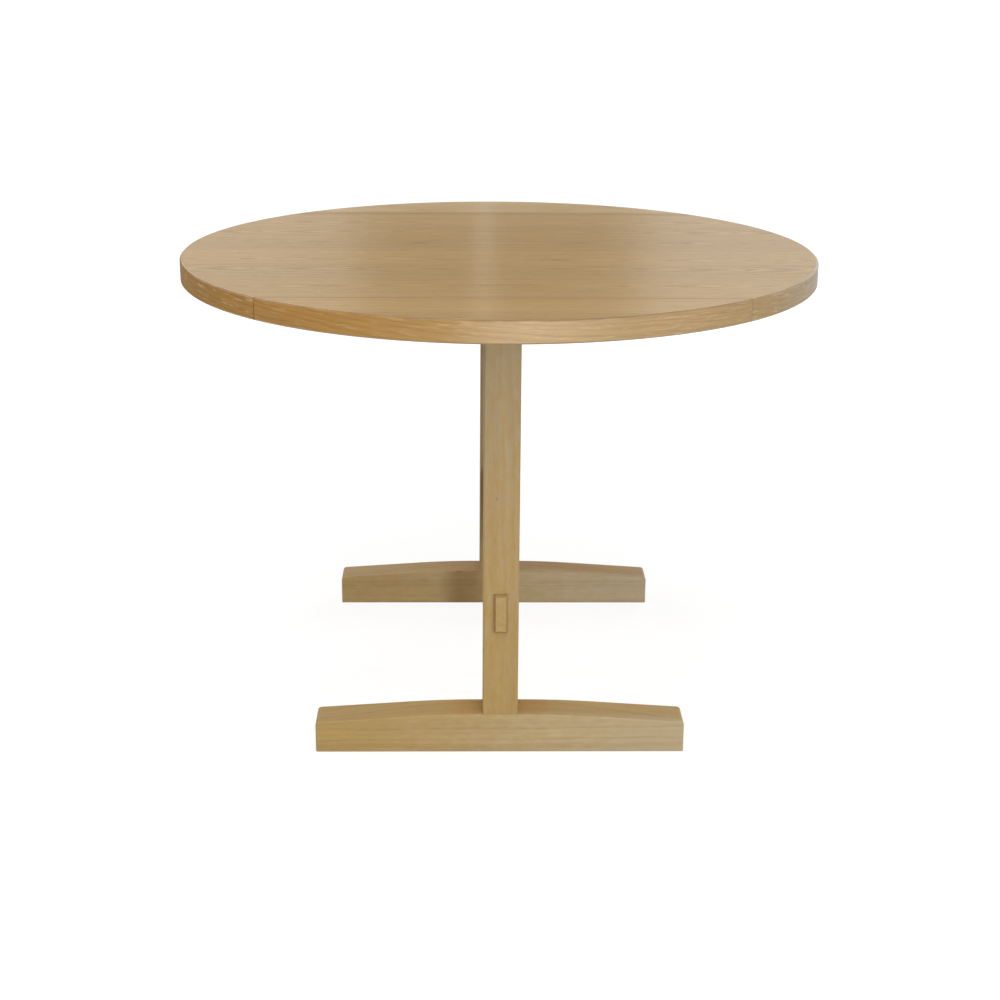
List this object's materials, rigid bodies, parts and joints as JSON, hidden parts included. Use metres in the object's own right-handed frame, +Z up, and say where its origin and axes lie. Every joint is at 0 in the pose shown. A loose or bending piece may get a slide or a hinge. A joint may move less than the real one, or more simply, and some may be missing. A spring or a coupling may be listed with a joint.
{
  "type": "drop-leaf table",
  "caption": "Round oak drop-leaf table: a fixed centre panel and hinged leaves on folding friction stays, on a trestle of posts, feet, bearers and a through-tenoned stretcher.",
  "frame": {"origin": "on the floor, under the centre of the round top", "axes": "+Z up; +X along the leaf joints and the feet; +Y from the front leaf to the rear leaf"},
  "size_m": [1.0498, 1.05, 0.745],
  "materials": {
    "oak_veneer": "oak veneer, clear satin lacquer, grain along the leaf joints",
    "oak_edge_band": "solid oak band, clear satin lacquer, grain along the rim",
    "oak_lipping": "solid oak strip, clear satin lacquer, grain along the leaf joints",
    "oak_frame": "solid oak, clear satin lacquer, grain along each piece",
    "zinc_plate": "zinc-plated steel sheet, dull",
    "zinc_screw": "zinc-plated steel, dull",
    "bright_steel": "drawn steel, satin",
    "friction_fibre": "dark pressed fibre"
  },
  "bodies": {
    "table_frame": {"centre_panel": "oak_veneer", "centre_edge_left": "oak_edge_band", "centre_edge_right": "oak_edge_band", "stretcher": "oak_frame", "front_panel_lipping": "oak_lipping", "front_post": "oak_frame", "front_foot": "oak_frame", "front_bearer": "oak_frame", "front_bearer_screws": "zinc_screw", "front_hinge_panel_plates": "zinc_plate", "front_hinge_pins": "bright_steel", "front_hinge_panel_screws": "zinc_screw", "front_stay_panel_brackets": "zinc_plate", "front_stay_panel_pivots": "bright_steel", "front_stay_washers": "friction_fibre", "front_stay_panel_screws": "zinc_screw", "rear_panel_lipping": "oak_lipping", "rear_post": "oak_frame", "rear_foot": "oak_frame", "rear_bearer": "oak_frame", "rear_bearer_screws": "zinc_screw", "rear_hinge_panel_plates": "zinc_plate", "rear_hinge_pins": "bright_steel", "rear_hinge_panel_screws": "zinc_screw", "rear_stay_panel_brackets": "zinc_plate", "rear_stay_panel_pivots": "bright_steel", "rear_stay_washers": "friction_fibre", "rear_stay_panel_screws": "zinc_screw"},
    "front_leaf": {"front_leaf_panel": "oak_veneer", "front_leaf_edge": "oak_edge_band", "front_leaf_lipping": "oak_lipping", "front_hinge_leaf_plates": "zinc_plate", "front_hinge_leaf_screws": "zinc_screw", "front_stay_leaf_brackets": "zinc_plate", "front_stay_leaf_pivots": "bright_steel", "front_stay_leaf_screws": "zinc_screw"},
    "front_stay_inner": {"front_stay_inner_arms": "zinc_plate", "front_stay_elbow_pivots": "bright_steel"},
    "front_stay_outer": {"front_stay_outer_arms": "zinc_plate"},
    "rear_leaf": {"rear_leaf_panel": "oak_veneer", "rear_leaf_edge": "oak_edge_band", "rear_leaf_lipping": "oak_lipping", "rear_hinge_leaf_plates": "zinc_plate", "rear_hinge_leaf_screws": "zinc_screw", "rear_stay_leaf_brackets": "zinc_plate", "rear_stay_leaf_pivots": "bright_steel", "rear_stay_leaf_screws": "zinc_screw"},
    "rear_stay_inner": {"rear_stay_inner_arms": "zinc_plate", "rear_stay_elbow_pivots": "bright_steel"},
    "rear_stay_outer": {"rear_stay_outer_arms": "zinc_plate"}
  },
  "joints": [
    {"name": "front_leaf_drop", "type": "hinge", "parent": "table_frame", "child": "front_leaf", "pos_m": [0, -0.375, 0.708], "axis": [1, 0, 0], "range_deg": [0, 90]},
    {"name": "front_stay_inner_swing", "type": "hinge", "parent": "table_frame", "child": "front_stay_inner", "pos_m": [0, -0.3346, 0.702], "axis": [1, 0, 0], "range_deg": [0, 90]},
    {"name": "front_stay_outer_swing", "type": "hinge", "parent": "front_leaf", "child": "front_stay_outer", "pos_m": [0, -0.4154, 0.702], "axis": [1, 0, 0], "range_deg": [-90, 0]},
    {"name": "rear_leaf_drop", "type": "hinge", "parent": "table_frame", "child": "rear_leaf", "pos_m": [0, 0.375, 0.708], "axis": [-1, 0, 0], "range_deg": [0, 90]},
    {"name": "rear_stay_inner_swing", "type": "hinge", "parent": "table_frame", "child": "rear_stay_inner", "pos_m": [0, 0.3346, 0.702], "axis": [-1, 0, 0], "range_deg": [0, 90]},
    {"name": "rear_stay_outer_swing", "type": "hinge", "parent": "rear_leaf", "child": "rear_stay_outer", "pos_m": [0, 0.4154, 0.702], "axis": [-1, 0, 0], "range_deg": [-90, 0]}
  ],
  "couplings": [
    {"joint": "front_stay_inner_swing", "follows": "front_leaf_drop", "ratio": 1},
    {"joint": "front_stay_outer_swing", "follows": "front_leaf_drop", "ratio": -1},
    {"joint": "rear_stay_inner_swing", "follows": "rear_leaf_drop", "ratio": 1},
    {"joint": "rear_stay_outer_swing", "follows": "rear_leaf_drop", "ratio": -1}
  ]
}
